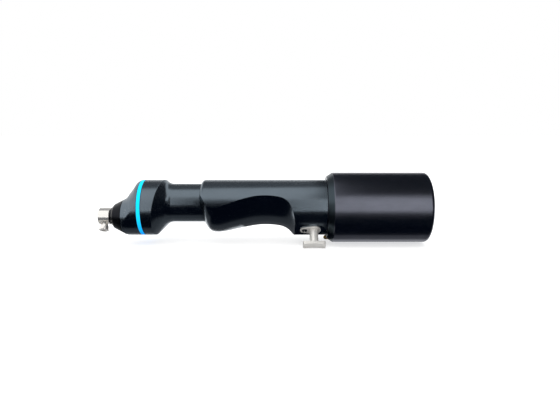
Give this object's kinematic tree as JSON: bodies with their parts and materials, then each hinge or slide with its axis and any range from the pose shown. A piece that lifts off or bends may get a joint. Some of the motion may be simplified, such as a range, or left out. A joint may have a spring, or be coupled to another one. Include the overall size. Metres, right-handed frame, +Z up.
{
  "type": "surgical power drill",
  "caption": "In-line battery surgical drill with an offset geared spindle and set-screw chuck, finger-scooped handle, T-shaped trigger and pull-off round battery",
  "frame": {"origin": "centre of the chuck mouth, on the spindle axis", "axes": "+X runs back along the drill from the chuck to the battery, and the tool leaves along -X; +Z is up with the drill lying on its side on the battery and the trigger pad; the trigger points to -Y and down, 41 degrees from straight down"},
  "size_m": [0.2611, 0.056, 0.057],
  "materials": {
    "satin_housing": "satin blue-grey anodised aluminium",
    "nose_black": "matte black anodised aluminium, bead blasted",
    "cyan_ring": "flush coloured ring",
    "polished_steel": "bright stainless steel",
    "gear_steel": "ground gear steel",
    "battery_shell": "scuffed purple-black moulded plastic",
    "inner_plastic": "black moulded plastic",
    "brass": "dull brass",
    "copper_wire": "enamelled copper winding",
    "motor_magnet": "dark sintered magnet",
    "circuit_board": "green board",
    "seal_rubber": "black lip seal",
    "cell_wrap": "wrapped battery cell"
  },
  "bodies": {
    "handpiece": {"handle_housing": "satin_housing", "rear_head_housing": "satin_housing", "front_head_housing": "satin_housing", "colour_ring": "cyan_ring", "nose_cone": "nose_black", "shaft_seal": "seal_rubber", "spindle_bearings": "gear_steel", "bearing_spacer": "gear_steel", "bearing_plate": "inner_plastic", "plate_screws": "gear_steel", "pinion_bearings": "gear_steel", "ring_gear": "gear_steel", "motor_can": "inner_plastic", "motor_front_flange": "inner_plastic", "motor_rear_cap": "inner_plastic", "motor_bearings": "gear_steel", "stator_core": "gear_steel", "stator_windings": "copper_wire", "position_board": "circuit_board", "control_board": "circuit_board", "board_components": "inner_plastic", "trigger_bush": "brass", "keeper_plate": "polished_steel", "keeper_screw": "gear_steel", "trigger_sensor": "inner_plastic", "trigger_spring": "gear_steel", "handle_contact_block": "inner_plastic", "handle_contact_pins": "brass"},
    "spindle": {"drill_spindle": "polished_steel", "spindle_gear": "gear_steel", "gear_clip": "gear_steel"},
    "lock_screw": {"tool_lock_screw": "polished_steel"},
    "carrier": {"planet_carrier": "gear_steel", "planet_clips": "gear_steel", "drive_pinion": "gear_steel"},
    "planet_1": {"planet_gear_1": "gear_steel"},
    "planet_2": {"planet_gear_2": "gear_steel"},
    "planet_3": {"planet_gear_3": "gear_steel"},
    "rotor": {"motor_shaft": "gear_steel", "rotor_magnet": "motor_magnet", "sun_gear": "gear_steel"},
    "trigger": {"trigger_bar": "polished_steel", "trigger_collar": "gear_steel", "trigger_magnet": "motor_magnet"},
    "battery_pack": {"battery_housing": "battery_shell", "battery_end_cap": "battery_shell", "battery_cells": "cell_wrap", "cell_trays": "inner_plastic", "cell_links": "gear_steel", "battery_contact_block": "inner_plastic", "battery_contacts": "brass", "release_spring": "gear_steel"},
    "release": {"battery_release_button": "brass", "battery_release_dog": "gear_steel"}
  },
  "joints": [
    {"name": "spindle_turn", "type": "hinge", "parent": "handpiece", "child": "spindle", "pos_m": [0.02, 0, 0], "axis": [1, 0, 0], "continuous": true},
    {"name": "lock_screw_turn", "type": "hinge", "parent": "spindle", "child": "lock_screw", "pos_m": [0.0045, 0, 0], "axis": [0, -0.4848, -0.8746], "range_deg": [0, 270]},
    {"name": "carrier_turn", "type": "hinge", "parent": "handpiece", "child": "carrier", "pos_m": [0.0384, 0.00836, 0.00962], "axis": [1, 0, 0], "continuous": true},
    {"name": "motor_turn", "type": "hinge", "parent": "handpiece", "child": "rotor", "pos_m": [0.0784, 0.00836, 0.00962], "axis": [1, 0, 0], "continuous": true},
    {"name": "trigger_slide", "type": "slide", "parent": "handpiece", "child": "trigger", "axis": [0, 0.6561, 0.7547], "range_m": [0, 0.006], "stiffness_N_per_m": 1000, "springref_m": -0.005, "deforming": ["trigger_spring"]},
    {"name": "battery_slide", "type": "slide", "parent": "handpiece", "child": "battery_pack", "axis": [1, 0, 0], "range_m": [0, 0.015]},
    {"name": "release_push", "type": "slide", "parent": "battery_pack", "child": "release", "axis": [1, 0, 0], "range_m": [0, 0.0015], "stiffness_N_per_m": 800, "springref_m": -0.002, "deforming": ["release_spring"]},
    {"name": "planet_1_turn", "type": "hinge", "parent": "carrier", "child": "planet_1", "pos_m": [0.0472, 0.01309, 0.01506], "axis": [1, 0, 0], "continuous": true},
    {"name": "planet_2_turn", "type": "hinge", "parent": "carrier", "child": "planet_2", "pos_m": [0.0472, 0.0013, 0.011], "axis": [1, 0, 0], "continuous": true},
    {"name": "planet_3_turn", "type": "hinge", "parent": "carrier", "child": "planet_3", "pos_m": [0.0472, 0.01071, 0.00281], "axis": [1, 0, 0], "continuous": true}
  ],
  "couplings": [
    {"joint": "carrier_turn", "follows": "motor_turn", "ratio": 0.25},
    {"joint": "spindle_turn", "follows": "motor_turn", "ratio": -0.13636},
    {"joint": "planet_1_turn", "follows": "motor_turn", "ratio": -0.75},
    {"joint": "planet_2_turn", "follows": "motor_turn", "ratio": -0.75},
    {"joint": "planet_3_turn", "follows": "motor_turn", "ratio": -0.75}
  ]
}
